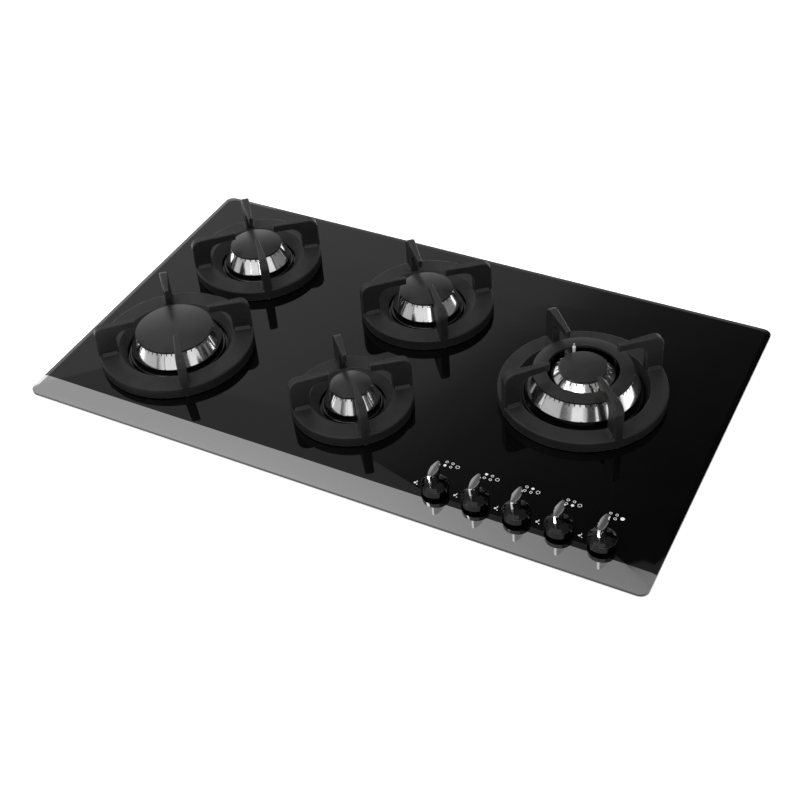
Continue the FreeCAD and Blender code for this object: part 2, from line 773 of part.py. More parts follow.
def knob(x):
    """Round hollow skirt with a boss for the stem, and a leaf-shaped fin that flares to its top."""
    foot = knobFoot()
    skirtTop = foot + knobSkirtHeight
    shoulderTop = skirtTop + knobShoulderHeight
    top = glassTop + knobHeight
    inside = knobRadius - knobWall
    edge = knobEdgeRadius
    softEdge = filletPoint(edge, knobRadius - edge, skirtTop - edge, 45)
    socketFoot = foot + knobBossGap
    hollow = foot + knobHollow
    section = [(0, socketFoot), (knobBossRadius, socketFoot), (knobBossRadius, hollow),
               (inside, hollow), (inside, foot), (knobRadius, foot), (knobRadius, skirtTop - edge),
               softEdge, (knobRadius - edge, skirtTop), (knobShoulderRadius, skirtTop + knobShoulderStep),
               (knobCrestRadius, shoulderTop), (0, shoulderTop)]
    skirt = revolved(section, arcs=(6,))
    finFoot = leaf(finFootLength, finFootWidth, skirtTop)
    finShoulder = leaf(finTopLength, finTopWidth, top - finBevel)
    finTop = leaf(finTopLength - 2 * finBevel, finTopWidth - 2 * finBevel, top)
    lowerFin = Part.makeLoft([finFoot, finShoulder], True, True)
    finCrest = Part.makeLoft([finShoulder, finTop], True, True)
    body = skirt.multiFuse([lowerFin, finCrest])
    gap = spindleSocketGap
    socket = cylinder(spindleRadius + gap, knobSocketDepth, z=socketFoot)
    keyY = spindleRadius - spindleFlat / 2 + gap
    key = block(3 * spindleRadius, spindleFlat, knobSocketDepth, 0, keyY, socketFoot)
    return moved(body.cut(socket.cut(key)), x, knobRowY)


def knobGrommet(x):
    """Rubber ring in the glass that seals round the stem."""
    bore = spindleRadius + grommetGap
    neck = knobHoleRadius - seatClearance
    flange = grommetFlangeRadius
    low = glassBottom - grommetFlange
    top = glassTop + grommetFlange
    section = [(bore, low), (flange, low), (flange, glassBottom), (neck, glassBottom), (neck, glassTop),
               (flange, glassTop), (flange - grommetFlange, top), (bore, top)]
    return moved(revolved(section), x, knobRowY)


def gasRail():
    """Supply tube: along the taps, round the front right corner and back to the inlet."""
    y = knobRowY - railOffset
    x = boxWidth / 2 - inletFromCorner
    z = tapOutletHeight
    start = firstKnobX - railSideGap
    end = notchY - boxSheet - inletNutThickness
    return bentTube([(start, y, z), (x, y, z), (x, end, z)], railRadius, railBend)


def gasInlet():
    """Threaded connector: hexagon inside the box wall, thread out into the corner step."""
    x = boxWidth / 2 - inletFromCorner
    z = tapOutletHeight
    wallInside = notchY - boxSheet
    nutFoot = wallInside - inletNutThickness
    reach = inletNutAcrossFlats / 2 / math.cos(math.radians(30))
    corners = []
    for step in range(7):
        angle = math.radians(60 * step)
        corners.append(Vec(x + reach * math.cos(angle), nutFoot, z + reach * math.sin(angle)))
    nut = Part.Face(Part.makePolygon(corners)).extrude(Vec(0, inletNutThickness, 0))
    neck = cylinder(inletReliefRadius, boxSheet + inletReliefLength, x, wallInside, z, back)
    thread = cylinder(inletThreadRadius, inletThreadLength, x, notchY + inletReliefLength, z, back)
    bore = cylinder(railRadius - boxSheet, 2 * inletThreadLength, x, nutFoot, z, back)
    return nut.multiFuse([neck, thread]).cut(bore)


def cableGland():
    """Strain relief for the mains lead: collars on both sides of the box wall, and a way through."""
    x = boxWidth / 2 - glandFromCorner
    z = tapOutletHeight
    wallInside = notchY - boxSheet
    collarRadius = glandRadius + glandCollar
    inside = cylinder(collarRadius, glandCollar, x, wallInside - glandCollar, z, back)
    body = cylinder(glandRadius, glandLength, x, wallInside, z, back)
    outside = cylinder(collarRadius, glandCollar, x, notchY, z, back)
    bore = cylinder(glandBoreRadius, 2 * glandLength, x, wallInside - glandLength / 2, z, back)
    return inside.multiFuse([body, outside]).cut(bore)


def jetHolder(name, size):
    """Block under the pot that carries the jet, with a boss for the gas tube."""
    x, y = size["x"], size["y"]
    level = tubeLevels[name]
    angle = math.radians(tubeEntries[name])
    direction = Vec(math.cos(angle), math.sin(angle), 0)
    body = cylinder(holderRadius, potBottom - boxSheet, x, y, boxSheet)
    boss = cylinder(tubeRadius + holderBossWall, holderRadius + holderBossLength, x, y, level, direction)
    recess = cylinder(jetHoleRadius - holderRim, jetHeight, x, y, potBottom - jetHeight)
    seatStart = Vec(x, y, level) + direction * (holderRadius + holderBossLength / 2)
    seat = Part.makeCylinder(tubeRadius + tubeSeatGap, holderBossLength, seatStart, direction)
    return body.fuse(boss).cut(recess).cut(seat)


def gasJet(size):
    """Brass jet on the floor of the holder's recess, with a conical nose."""
    body = cylinder(jetRadius, jetHeight - jetNose, z=potBottom - jetHeight)
    nose = Part.makeCone(jetRadius, jetRadius / 2, jetNose, Vec(0, 0, potBottom - jetNose), up)
    return moved(body.fuse(nose), size["x"], size["y"])


def gasTube(name, knobX):
    """Route from a tap to its burner: back, down to its level, then across in straight runs."""
    size = burners[name]
    x, y, level = size["x"], size["y"], tubeLevels[name]
    reach = holderRadius + holderBossLength / 2
    start = tubeStartY()
    drop = start + tubeDropStart
    route = [(knobX, start, tapOutletHeight)]
    if level < tapOutletHeight:
        route += [(knobX, drop, tapOutletHeight), (knobX, drop + tubeDropLength, level)]
    crossing = tubeCrossings[name]
    if name == "wok":
        route += [(knobX, y, level), (x + reach, y, level)]
    elif name == "back_middle":
        turnX = x + potRadius(size) + 3 * tubeBend
        route += [(knobX, crossing, level), (turnX, crossing, level), (turnX, y, level)]
        route.append((x + reach, y, level))
    else:
        route += [(knobX, crossing, level), (x, crossing, level), (x, y - reach, level)]
    return bentTube(route, tubeRadius, tubeBend)


def ignitionGenerator():
    """Plastic spark generator on the box floor, with a row of lead sockets along its top."""
    width, depth, height = generatorSize
    x = generatorX
    y = -boxLength / 2 + boxSheet + generatorWallGap + depth / 2
    case = block(width, depth, height, x, y, boxSheet)
    upright = [e for e in case.Edges if abs(e.Vertexes[0].Z - e.Vertexes[-1].Z) > height / 2]
    case = case.makeFillet(generatorCornerRadius, upright)
    pitch = width / (len(burners) + 1)
    for step in range(len(burners)):
        socketX = x + (step - (len(burners) - 1) / 2) * pitch
        socket = cylinder(generatorSocketRadius, generatorSocketHeight, socketX, y, boxSheet + height)
        case = case.fuse(socket)
    return case


def switchStrip():
    """Ignition switches in one strip on top of the taps, pierced for the stems."""
    width = switchStripWidth
    length = lastKnobX - firstKnobX + 2 * width
    strip = block(length, width, switchStripHeight, (firstKnobX + lastKnobX) / 2, knobRowY, tapTop)
    for x in knobPlaces():
        strip = strip.cut(cylinder(spindleRadius + grommetGap, switchStripHeight, x, knobRowY, tapTop))
        housing = block(width / 2, width / 3, switchHousingHeight, z=tapTop + switchStripHeight)
        strip = strip.fuse(moved(housing, x + width / 2, knobRowY + width / 4))
    return strip


# ---- the parts -----------------------------------------------------------------------------

os.makedirs("parts", exist_ok=True)

save("glass_panel", glassPanel())
save("rim_seal", rimSeal())
save("burner_box", burnerBox())

for name, size in burners.items():
    save("pan_support_" + name, panSupport(size))
    save("support_feet_" + name, supportFeet(size))
    save("burner_base_" + name, burnerBase(name, size))
    save("flame_spreader_" + name, flameSpreader(name, size))
    save("burner_cap_" + name, wokRingCap(size) if name == "wok" else burnerCap(size))

save("wok_inner_crown", wokCrown(burners["wok"]))
save("wok_inner_cap", wokCentreCap(burners["wok"]))

for name, x in zip(knobOrder, knobPlaces()):
    save("knob_" + name, knob(x))
    save("tap_spindle_" + name, tapSpindle(x))
    save("push_pin_" + name, pushPin(x))

save("tap_bodies", [tapBody(x) for x in knobPlaces()])
save("knob_grommets", [knobGrommet(x) for x in knobPlaces()])
save("gas_rail", gasRail())
save("gas_inlet", gasInlet())
save("gas_tubes", [gasTube(name, x) for name, x in zip(knobOrder, knobPlaces())])
save("jet_holders", [jetHolder(name, size) for name, size in burners.items()])
save("gas_jets", [gasJet(size) for size in burners.values()])
save("burner_gaskets", [burnerGasket(size) for size in burners.values()])
save("spark_electrodes", [sparkElectrode(name, size) for name, size in burners.items()])
save("thermocouples", [thermocouple(name, size) for name, size in burners.items()])
save("ignition_generator", ignitionGenerator())
save("ignition_switches", switchStrip())
save("cable_gland", cableGland())
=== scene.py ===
import math
import bpy
from mathutils import Matrix, Vector


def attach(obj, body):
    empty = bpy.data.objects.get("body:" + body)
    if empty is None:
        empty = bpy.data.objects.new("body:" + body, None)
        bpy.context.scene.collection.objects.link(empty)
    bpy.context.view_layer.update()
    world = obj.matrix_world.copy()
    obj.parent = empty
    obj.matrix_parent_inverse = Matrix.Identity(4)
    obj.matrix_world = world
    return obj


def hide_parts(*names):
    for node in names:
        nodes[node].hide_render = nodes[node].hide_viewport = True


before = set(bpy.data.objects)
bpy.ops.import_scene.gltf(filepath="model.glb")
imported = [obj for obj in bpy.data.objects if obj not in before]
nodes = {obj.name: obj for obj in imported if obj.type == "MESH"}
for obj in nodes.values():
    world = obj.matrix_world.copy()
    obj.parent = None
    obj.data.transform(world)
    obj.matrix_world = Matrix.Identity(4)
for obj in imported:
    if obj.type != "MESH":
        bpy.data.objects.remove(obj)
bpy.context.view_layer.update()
bpy.ops.object.select_all(action="DESELECT")
print("frame loaded,", len(nodes), "nodes")

# Metres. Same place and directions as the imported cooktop: +Z up, +Y to the back.
panel = {"width": 0.860, "depth": 0.500, "top": 0.056, "worktop": 0.047, "corner": 0.012}
burnerPlaces = {
    "front_left": (-0.2915, -0.098),
    "back_left": (-0.2915, 0.113),
    "back_middle": (-0.016, 0.113),
    "front_middle": (-0.016, -0.104),
    "wok": (0.245, 0.031),
}
knobs = {"first": 0.149, "pitch": 0.0526, "row": -0.201, "finFoot": 0.073, "top": 0.0945}
knobOrder = ["front_left", "back_left", "back_middle", "front_middle", "wok"]


# small helpers for materials

def newMaterial(name):
    mat = bpy.data.materials.new(name)
    mat.use_nodes = True
    return mat, mat.node_tree, mat.node_tree.nodes["Principled BSDF"]


def addNode(tree, kind, **values):
    node = tree.nodes.new(kind)
    for key, value in values.items():
        setattr(node, key, value)
    return node


def objectCoords(tree, scale=(1, 1, 1), centre=(0, 0, 0)):
    coords = addNode(tree, "ShaderNodeTexCoord")
    mapping = addNode(tree, "ShaderNodeMapping")
    mapping.inputs["Scale"].default_value = scale
    mapping.inputs["Location"].default_value = [-c * s for c, s in zip(centre, scale)]
    tree.links.new(coords.outputs["Object"], mapping.inputs["Vector"])
    return mapping.outputs["Vector"]


def noise(tree, vector, scale, detail=3.0, roughness=0.55):
    node = addNode(tree, "ShaderNodeTexNoise")
    node.inputs["Scale"].default_value = scale
    node.inputs["Detail"].default_value = detail
    node.inputs["Roughness"].default_value = roughness
    tree.links.new(vector, node.inputs["Vector"])
    return node.outputs["Fac"]


def ramp(tree, source, stops):
    node = addNode(tree, "ShaderNodeValToRGB")
    while len(node.color_ramp.elements) < len(stops):
        node.color_ramp.elements.new(0.5)
    for element, (place, colour) in zip(node.color_ramp.elements, stops):
        element.position = place
        element.color = (*colour, 1) if isinstance(colour, tuple) else (colour, colour, colour, 1)
    tree.links.new(source, node.inputs["Fac"])
    return node.outputs["Color"]


def drift(tree, source, tones, places=(0.3, 0.7)):
    # from the first tone to the second while the source goes from the first place to the second
    return ramp(tree, source, list(zip(places, tones)))


def around(value, low, high):
    # a range that is given as shares of one value
    return low * value, high * value


def splitUp(tree, vector):
    node = addNode(tree, "ShaderNodeSeparateXYZ")
    tree.links.new(vector, node.inputs["Vector"])
    return node.outputs


def facingUp(tree):
    # 1 where the surface faces up, 0 where it is upright
    geometry = addNode(tree, "ShaderNodeNewGeometry")
    return splitUp(tree, geometry.outputs["Normal"])["Z"]


def calculate(tree, operation, *values):
    node = addNode(tree, "ShaderNodeMath", operation=operation)
    for socket, value in zip(node.inputs, values):
        if isinstance(value, (int, float)):
            socket.default_value = value
        else:
            tree.links.new(value, socket)
    return node.outputs["Value"]


def stretch(tree, value, low, high, start=0.0, end=1.0):
    # start where the value is low, end where it is high
    node = addNode(tree, "ShaderNodeMapRange")
    for socket, number in (("From Min", low), ("From Max", high), ("To Min", start), ("To Max", end)):
        node.inputs[socket].default_value = number
    tree.links.new(value, node.inputs["Value"])
    return node.outputs["Result"]


def mixColour(tree, factor, a, b):
    node = addNode(tree, "ShaderNodeMix", data_type="RGBA")
    tree.links.new(factor, node.inputs[0])
    for socket, value in ((node.inputs[6], a), (node.inputs[7], b)):
        if isinstance(value, tuple):
            socket.default_value = (*value, 1)
        else:
            tree.links.new(value, socket)
    return node.outputs[2]


def addBump(tree, shader, height, strength, distance):
    bump = addNode(tree, "ShaderNodeBump")
    bump.inputs["Strength"].default_value = strength
    bump.inputs["Distance"].default_value = distance
    tree.links.new(height, bump.inputs["Height"])
    tree.links.new(bump.outputs["Normal"], shader.inputs["Normal"])


def wearAndSheenEdges(tree, radius, low, high):
    # 0 on flat stretches, 1 on sharp edges
    bevel = addNode(tree, "ShaderNodeBevel", samples=4)
    bevel.inputs["Radius"].default_value = radius
    geometry = addNode(tree, "ShaderNodeNewGeometry")
    dot = addNode(tree, "ShaderNodeVectorMath", operation="DOT_PRODUCT")
    tree.links.new(bevel.outputs["Normal"], dot.inputs[0])
    tree.links.new(geometry.outputs["Normal"], dot.inputs[1])
    apart = calculate(tree, "SUBTRACT", 1.0, dot.outputs["Value"])
    return stretch(tree, apart, low, high)


def paint(piece, material):
    piece.data.materials.clear()
    piece.data.materials.append(material)
    for face in piece.data.polygons:
        face.material_index = 0


# Materials. "gloss" is the range of the roughness, a scale is in noise cells to the metre, "wearAndSheen" is
# the tone of lighter edges (rubbed wear, and on the cast iron also a painted highlight) and
# "wearAndSheenShare" the share of it, and "relief" is the depth of the grain.

glassLook = {"bandDepth": 0.034, "black": 0.0011, "silver": 0.62, "gloss": (0.010, 0.028), "bandGloss": 0.06,
             "ior": 1.5, "smudgeScale": 14.0, "grainScale": 1100.0}


def blackGlassMaterial():
    # black glass with a mirror band behind its front edge
    mat, tree, shader = newMaterial("blackGlass")
    coords = objectCoords(tree)
    bandEdge = glassLook["bandDepth"] - panel["depth"] / 2
    atFront = calculate(tree, "LESS_THAN", splitUp(tree, coords)["Y"], bandEdge)
    band = calculate(tree, "MULTIPLY", atFront, calculate(tree, "GREATER_THAN", facingUp(tree), 0.5))
    smudge = noise(tree, coords, glassLook["smudgeScale"], detail=4.0, roughness=0.6)
    grain = noise(tree, coords, glassLook["grainScale"], detail=2.0)
    black = drift(tree, smudge, around(glassLook["black"], 0.8, 1.6), places=(0.3, 0.75))
    silver = drift(tree, grain, around(glassLook["silver"], 0.94, 1.04))
    tree.links.new(mixColour(tree, band, black, silver), shader.inputs["Base Color"])
    tree.links.new(band, shader.inputs["Metallic"])
    shine = drift(tree, smudge, glassLook["gloss"], places=(0.35, 0.8))
    roughness = mixColour(tree, band, shine, (glassLook["bandGloss"],) * 3)
    tree.links.new(roughness, shader.inputs["Roughness"])
    shader.inputs["IOR"].default_value = glassLook["ior"]
    return mat


ironLook = {"tones": (0.014, 0.021), "wearAndSheen": 0.13, "wearAndSheenShare": 0.7, "edge": 0.0014, "specular": 0.25,
            "gloss": (0.40, 0.54), "patchScale": 40.0, "skinScale": 260.0, "gritScale": 1400.0,
            "grit": 0.6, "relief": 0.0005}


def castIronMaterial():
    mat, tree, shader = newMaterial("enamelledCastIron")
    coords = objectCoords(tree)
    patches = noise(tree, coords, ironLook["patchScale"], detail=4.0)
    grit = noise(tree, coords, ironLook["gritScale"], detail=2.0, roughness=0.7)
    skin = noise(tree, coords, ironLook["skinScale"], detail=3.0, roughness=0.6)
    base = drift(tree, patches, ironLook["tones"], places=(0.25, 0.75))
    # the lighter edges are partly rubbed enamel and partly a painted highlight along the rounded edges
    edges = wearAndSheenEdges(tree, ironLook["edge"], low=0.02, high=0.30)
    wearAndSheen = calculate(tree, "MULTIPLY", edges, ironLook["wearAndSheenShare"])
    tree.links.new(mixColour(tree, wearAndSheen, base, (ironLook["wearAndSheen"],) * 3), shader.inputs["Base Color"])
    shader.inputs["Specular IOR Level"].default_value = ironLook["specular"]
    roughness = drift(tree, skin, ironLook["gloss"], places=(0.2, 0.8))
    tree.links.new(roughness, shader.inputs["Roughness"])
    height = calculate(tree, "ADD", calculate(tree, "MULTIPLY", grit, ironLook["grit"]), skin)
    addBump(tree, shader, height, strength=0.35, distance=ironLook["relief"])
    return mat


enamelLook = {"tones": (0.003, 0.006), "gloss": (0.04, 0.09), "ior": 1.6, "cloudScale": 60.0,
              "peelScale": 320.0, "relief": 0.0002}


def glossEnamelMaterial():
    mat, tree, shader = newMaterial("glossBlackEnamel")
    coords = objectCoords(tree)
    peel = noise(tree, coords, enamelLook["peelScale"], detail=2.0)
    cloud = noise(tree, coords, enamelLook["cloudScale"])
    shader.inputs["IOR"].default_value = enamelLook["ior"]
    tree.links.new(drift(tree, cloud, enamelLook["tones"]), shader.inputs["Base Color"])
    tree.links.new(drift(tree, peel, enamelLook["gloss"]), shader.inputs["Roughness"])
    addBump(tree, shader, peel, strength=0.05, distance=enamelLook["relief"])
    return mat


capLook = {"tones": (0.010, 0.016), "wearAndSheen": 0.09, "wearAndSheenShare": 0.4, "edge": 0.0007, "gloss": (0.27, 0.36),
           "cloudScale": 50.0, "speckleScale": 1800.0, "relief": 0.00015}


def capEnamelMaterial():
    mat, tree, shader = newMaterial("mattCapEnamel")
    coords = objectCoords(tree)
    speckle = noise(tree, coords, capLook["speckleScale"], detail=1.0)
    cloud = noise(tree, coords, capLook["cloudScale"], detail=4.0)
    base = drift(tree, cloud, capLook["tones"], places=(0.25, 0.75))
    edges = wearAndSheenEdges(tree, capLook["edge"], low=0.03, high=0.4)
    wearAndSheen = calculate(tree, "MULTIPLY", edges, capLook["wearAndSheenShare"])
    tree.links.new(mixColour(tree, wearAndSheen, base, (capLook["wearAndSheen"],) * 3), shader.inputs["Base Color"])
    tree.links.new(drift(tree, cloud, capLook["gloss"], places=(0.2, 0.8)), shader.inputs["Roughness"])
    addBump(tree, shader, speckle, strength=0.10, distance=capLook["relief"])
    return mat


# "stainFrom" is the share of the cone's height above which heat has stained it
spreaderLook = {"tones": ((0.80, 0.80, 0.80), (0.88, 0.88, 0.88)), "stained": (0.55, 0.54, 0.52),
                "stainFrom": 0.55, "stain": 0.5, "gloss": (0.07, 0.15), "cloudScale": 55.0,
                "latheScale": 2600.0, "relief": 0.00006}


def turnedAluminiumMaterial(name, centre, foot, crown):
    # lathe marks run round the burner's own axis
    mat, tree, shader = newMaterial("turnedAluminium_" + name)
    coords = objectCoords(tree, centre=(centre[0], centre[1], 0))
    x, y, z = splitUp(tree, coords)
    squares = [calculate(tree, "MULTIPLY", side, side) for side in (x, y)]
    radius = calculate(tree, "SQRT", calculate(tree, "ADD", *squares))
    along = addNode(tree, "ShaderNodeCombineXYZ")
    tree.links.new(radius, along.inputs["X"])
    tree.links.new(z, along.inputs["Y"])
    rings = noise(tree, along.outputs["Vector"], spreaderLook["latheScale"], detail=2.0, roughness=0.6)
    cloud = noise(tree, coords, spreaderLook["cloudScale"], detail=3.0)
    heat = stretch(tree, z, foot + spreaderLook["stainFrom"] * (crown - foot), crown)
    stained = calculate(tree, "MULTIPLY", heat, calculate(tree, "MULTIPLY", cloud, spreaderLook["stain"]))
    colour = mixColour(tree, stained, drift(tree, cloud, spreaderLook["tones"]), spreaderLook["stained"])
    tree.links.new(colour, shader.inputs["Base Color"])
    shader.inputs["Metallic"].default_value = 1.0
    roughness = drift(tree, rings, spreaderLook["gloss"], places=(0.25, 0.75))
    tree.links.new(roughness, shader.inputs["Roughness"])
    addBump(tree, shader, rings, strength=0.08, distance=spreaderLook["relief"])
    return mat


# "crown" times the square of the distance from the knob's axis is how far the top face falls off
# to its sides; "foot" is how far above the fin's foot all is polished
# the skirt's tone is the same chrome painted near black, a painted dark reflection
knobLook = {"skirt": 0.035, "fin": 0.85, "topFace": 0.50, "crown": 30.0, "foot": 0.003, "topSkin": 0.0002,
            "gloss": (0.04, 0.08), "topGloss": (0.14, 0.24), "cloudScale": 90.0, "brushScale": 2400.0,
            "brushStretch": (1, 0.05, 1), "brushRelief": 0.00001}


def knobMetalMaterial():
    # chrome all over: a skirt whose colour is painted near black as a painted dark reflection, a polished
    # fin, and a satin top face that is crowned from side to side
    mat, tree, shader = newMaterial("knobMetal")
    coords = objectCoords(tree)
    x, y, z = splitUp(tree, coords)
    facing = facingUp(tree)
    nearTop = calculate(tree, "GREATER_THAN", z, knobs["top"] - knobLook["topSkin"])
    isTop = calculate(tree, "MULTIPLY", nearTop, calculate(tree, "GREATER_THAN", facing, 0.98))
    overFoot = calculate(tree, "GREATER_THAN", z, knobs["finFoot"])
    finSide = calculate(tree, "MULTIPLY", overFoot, calculate(tree, "LESS_THAN", facing, 0.6))
    higher = calculate(tree, "GREATER_THAN", z, knobs["finFoot"] + knobLook["foot"])
    onFin = calculate(tree, "MAXIMUM", finSide, higher)
    drawn = objectCoords(tree, scale=knobLook["brushStretch"])
    brushed = noise(tree, drawn, knobLook["brushScale"], detail=2.0)
    cloud = noise(tree, coords, knobLook["cloudScale"])
    # painted dark reflection: the skirt's chrome is given a near-black colour
    skirt = drift(tree, cloud, around(knobLook["skirt"], 0.9, 1.1))
    fin = drift(tree, cloud, around(knobLook["fin"], 0.95, 1.03))
    colour = mixColour(tree, onFin, skirt, fin)
    tree.links.new(mixColour(tree, isTop, colour, (knobLook["topFace"],) * 3), shader.inputs["Base Color"])
    shader.inputs["Metallic"].default_value = 1.0
    polish = drift(tree, cloud, knobLook["gloss"])
    satin = drift(tree, brushed, knobLook["topGloss"])
    tree.links.new(mixColour(tree, isTop, polish, satin), shader.inputs["Roughness"])
    fromFirst = calculate(tree, "SUBTRACT", x, knobs["first"])
    fromAxis = calculate(tree, "WRAP", fromFirst, knobs["pitch"] / 2, -knobs["pitch"] / 2)
    crown = calculate(tree, "MULTIPLY", calculate(tree, "MULTIPLY", fromAxis, fromAxis), -knobLook["crown"])
    relief = calculate(tree, "ADD", crown, calculate(tree, "MULTIPLY", brushed, knobLook["brushRelief"]))
    addBump(tree, shader, calculate(tree, "MULTIPLY", relief, isTop), strength=1.0, distance=1.0)
    return mat


# finishes of one plain tone; "scale" is that of the tone's drift, and the grain is finer by "finer"
plainLooks = {
    "siliconeRubber": {"dark": (0.02,) * 3, "light": (0.035,) * 3, "gloss": (0.5, 0.65), "scale": 90.0},
    "foamStrip": {"dark": (0.05,) * 3, "light": (0.09,) * 3, "gloss": (0.8, 0.95), "scale": 500.0,
                  "bump": 0.5},
    "machinedBrass": {"dark": (0.62, 0.46, 0.20), "light": (0.78, 0.62, 0.32), "gloss": (0.2, 0.34),
                      "scale": 120.0, "metallic": 1.0},
    "drawnAluminium": {"dark": (0.58, 0.59, 0.60), "light": (0.72, 0.72, 0.73), "gloss": (0.28, 0.42),
                       "scale": 80.0, "metallic": 1.0},
    "probeSteel": {"dark": (0.32, 0.28, 0.24), "light": (0.55, 0.52, 0.48), "gloss": (0.25, 0.4),
                   "scale": 160.0, "metallic": 1.0},
    "glazedCeramic": {"dark": (0.74, 0.73, 0.70), "light": (0.84, 0.83, 0.80), "gloss": (0.12, 0.22),
                      "scale": 120.0},
    "mouldedPlastic": {"dark": (0.018, 0.018, 0.019), "light": (0.03, 0.03, 0.032), "gloss": (0.4, 0.55),
                       "scale": 300.0, "bump": 0.2},
    "printedWhite": {"dark": (0.62,) * 3, "light": (0.76,) * 3, "gloss": (0.35, 0.5), "scale": 700.0,
                     "bump": 0.05},
}
plainWear = {"edge": 0.0008, "low": 0.05, "high": 0.5, "wearAndSheenShare": 0.5, "gain": 1.3, "lift": 0.02,
             "palest": 0.95, "finer": 12, "relief": 0.0002}


def plainMaterial(name, dark, light, gloss, scale, metallic=0.0, bump=0.1):
    mat, tree, shader = newMaterial(name)
    coords = objectCoords(tree)
    tone = noise(tree, coords, scale, detail=4.0)
    fine = noise(tree, coords, plainWear["finer"] * scale, detail=2.0)
    edges = wearAndSheenEdges(tree, plainWear["edge"], plainWear["low"], plainWear["high"])
    wearAndSheen = calculate(tree, "MULTIPLY", edges, plainWear["wearAndSheenShare"])
    base = drift(tree, tone, (dark, light), places=(0.25, 0.75))
    paler = tuple(min(plainWear["palest"], plainWear["gain"] * c + plainWear["lift"]) for c in light)
    tree.links.new(mixColour(tree, wearAndSheen, base, paler), shader.inputs["Base Color"])
    shader.inputs["Metallic"].default_value = metallic
    tree.links.new(drift(tree, fine, gloss, places=(0.25, 0.75)), shader.inputs["Roughness"])
    addBump(tree, shader, fine, strength=bump, distance=plainWear["relief"])
    return mat


sheetLook = {"tones": ((0.50, 0.51, 0.53), (0.66, 0.67, 0.68)), "gloss": (0.34, 0.52), "spangleScale": 130.0,
             "waveScale": 30.0, "relief": 0.0006}


def galvanisedMaterial():
    mat, tree, shader = newMaterial("galvanisedSheet")
    coords = objectCoords(tree)
    spangle = addNode(tree, "ShaderNodeTexVoronoi")
    spangle.inputs["Scale"].default_value = sheetLook["spangleScale"]
    tree.links.new(coords, spangle.inputs["Vector"])
    flake = addNode(tree, "ShaderNodeSeparateColor")
    tree.links.new(spangle.outputs["Color"], flake.inputs["Color"])
    tone = flake.outputs["Red"]
    tree.links.new(drift(tree, tone, sheetLook["tones"], places=(0.0, 1.0)), shader.inputs["Base Color"])
    shader.inputs["Metallic"].default_value = 1.0
    tree.links.new(drift(tree, tone, sheetLook["gloss"], places=(0.0, 1.0)), shader.inputs["Roughness"])
    wave = noise(tree, coords, sheetLook["waveScale"])
    addBump(tree, shader, wave, strength=0.1, distance=sheetLook["relief"])
    return mat


plain = {name: plainMaterial(name, **look) for name, look in plainLooks.items()}
blackGlass = blackGlassMaterial()
castIron = castIronMaterial()
glossEnamel = glossEnamelMaterial()
capEnamel = capEnamelMaterial()
knobMetal = knobMetalMaterial()
coneHeights = {"usual": (0.067, 0.088), "wok": (0.0725, 0.094)}   # foot and crown of the flame cones

finishes = {"glass_panel": blackGlass, "burner_box": galvanisedMaterial(), "rim_seal": plain["foamStrip"],
            "spark_electrodes": plain["glazedCeramic"], "thermocouples": plain["probeSteel"],
            "wok_inner_cap": capEnamel}
for name, place in burnerPlaces.items():
    turned = turnedAluminiumMaterial(name, place, *coneHeights.get(name, coneHeights["usual"]))
    finishes["pan_support_" + name] = castIron
    finishes["support_feet_" + name] = plain["siliconeRubber"]
    finishes["burner_base_" + name] = glossEnamel
    finishes["burner_cap_" + name] = capEnamel
    finishes["flame_spreader_" + name] = turned
    if name == "wok":
        finishes["wok_inner_crown"] = turned
for name in knobOrder:
    finishes["knob_" + name] = knobMetal
    finishes["tap_spindle_" + name] = plain["machinedBrass"]
    finishes["push_pin_" + name] = plain["machinedBrass"]
hiddenPieces = {
    "machinedBrass": ("gas_inlet", "gas_jets"),
    "drawnAluminium": ("gas_rail", "gas_tubes", "tap_bodies", "jet_holders"),
    "siliconeRubber": ("knob_grommets", "burner_gaskets"),
    "mouldedPlastic": ("ignition_generator", "ignition_switches", "cable_gland"),
}
for look, names in hiddenPieces.items():
    finishes.update(dict.fromkeys(names, plain[look]))
for name, material in finishes.items():
    paint(nodes[name], material)
print("materials done,", len(finishes), "nodes painted")


# The panel, with its narrow bevel drawn out to the broad polished one of the photograph. "drop" is
# the new bevel's height; "level" and "slack" are how near a corner has to be to a loop that moves.

bevelShape = {"oldWidth": 0.0016, "width": 0.0068, "drop": 0.0024, "merge": 0.00001, "level": 0.0001,
              "slack": 0.0004, "smoothTo": 12}


def moveRim(piece, z, inset, scale, shift):
    # moves the loop of corners that runs round the panel at this height and inset
    corner = panel["corner"]
    for vertex in piece.data.vertices:
        x = max(0.0, abs(vertex.co.x) - panel["width"] / 2 + corner)
        y = max(0.0, abs(vertex.co.y) - panel["depth"] / 2 + corner)
        atRim = math.hypot(x, y) > corner - inset - bevelShape["slack"]
        vertex.select = atRim and abs(vertex.co.z - z) < bevelShape["level"]
    for edge in piece.data.edges:
        edge.select = all(piece.data.vertices[v].select for v in edge.vertices)
    bpy.ops.object.mode_set(mode="EDIT")
    bpy.ops.transform.resize(value=scale, center_override=(0, 0, z))
    bpy.ops.transform.translate(value=(0, 0, shift))
    bpy.ops.object.mode_set(mode="OBJECT")


